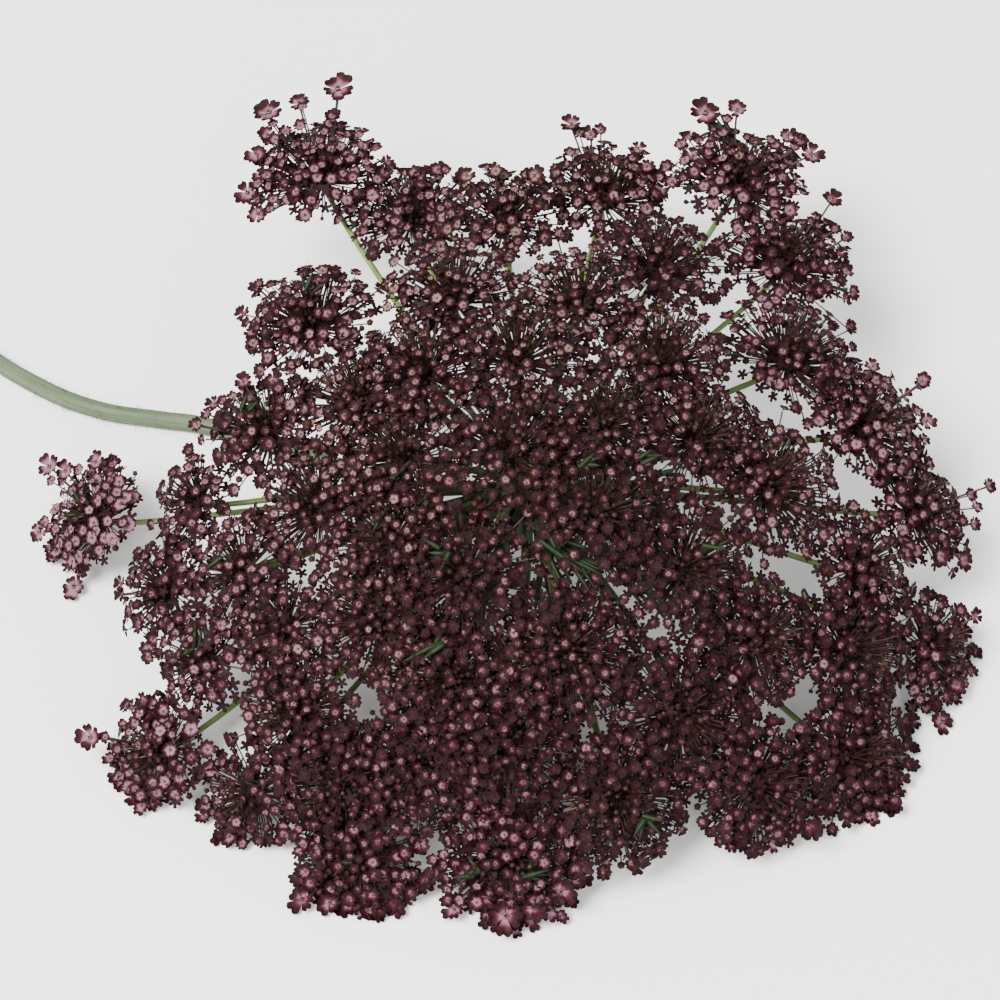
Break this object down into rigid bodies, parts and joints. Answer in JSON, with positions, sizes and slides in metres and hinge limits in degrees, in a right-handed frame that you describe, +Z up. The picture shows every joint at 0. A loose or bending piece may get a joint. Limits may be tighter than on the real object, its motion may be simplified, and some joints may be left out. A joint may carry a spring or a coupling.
{
  "type": "queen anne's lace flower",
  "caption": "Dark burgundy umbel flower head on a cut green stem, lying face up with its rim and stem resting on the surface.",
  "frame": {"origin": "on the surface the flower lies on, under the middle of its bounding box", "axes": "+Z up from the surface, the head leans towards -Y, the stem runs away to -X and +Y"},
  "size_m": [0.1711, 0.1501, 0.045],
  "materials": {
    "florets": "matt petals, dusty pink at the base and dark burgundy at the margin",
    "stem": "soft grey-green, ridged and finely hairy",
    "bracts": "matt dark green"
  },
  "bodies": {
    "root": {"stem": "stem", "bract_1": "bracts", "bract_2": "bracts", "bract_3": "bracts", "bract_4": "bracts", "bract_5": "bracts", "bract_6": "bracts", "umbellet_01": "florets", "umbellet_02": "florets", "umbellet_03": "florets", "umbellet_04": "florets", "umbellet_05": "florets", "umbellet_06": "florets", "umbellet_07": "florets", "umbellet_08": "florets", "umbellet_09": "florets", "umbellet_10": "florets", "umbellet_11": "florets", "umbellet_12": "florets", "umbellet_13": "florets", "umbellet_14": "florets", "umbellet_15": "florets", "umbellet_16": "florets", "umbellet_17": "florets", "umbellet_18": "florets", "umbellet_19": "florets", "umbellet_20": "florets", "umbellet_21": "florets", "umbellet_22": "florets", "umbellet_23": "florets", "umbellet_24": "florets", "umbellet_25": "florets", "umbellet_26": "florets", "umbellet_27": "florets", "umbellet_28": "florets", "umbellet_29": "florets", "umbellet_30": "florets", "umbellet_31": "florets", "umbellet_32": "florets", "umbellet_33": "florets", "umbellet_34": "florets", "umbellet_35": "florets", "umbellet_36": "florets", "umbellet_37": "florets", "umbellet_38": "florets", "umbellet_39": "florets", "umbellet_40": "florets", "umbellet_41": "florets", "umbellet_42": "florets", "umbellet_43": "florets", "umbellet_44": "florets", "umbellet_45": "florets", "umbellet_46": "florets", "umbellet_47": "florets", "umbellet_48": "florets", "umbellet_49": "florets", "umbellet_50": "florets", "umbellet_51": "florets", "umbellet_52": "florets", "umbellet_53": "florets"}
  },
  "joints": []
}
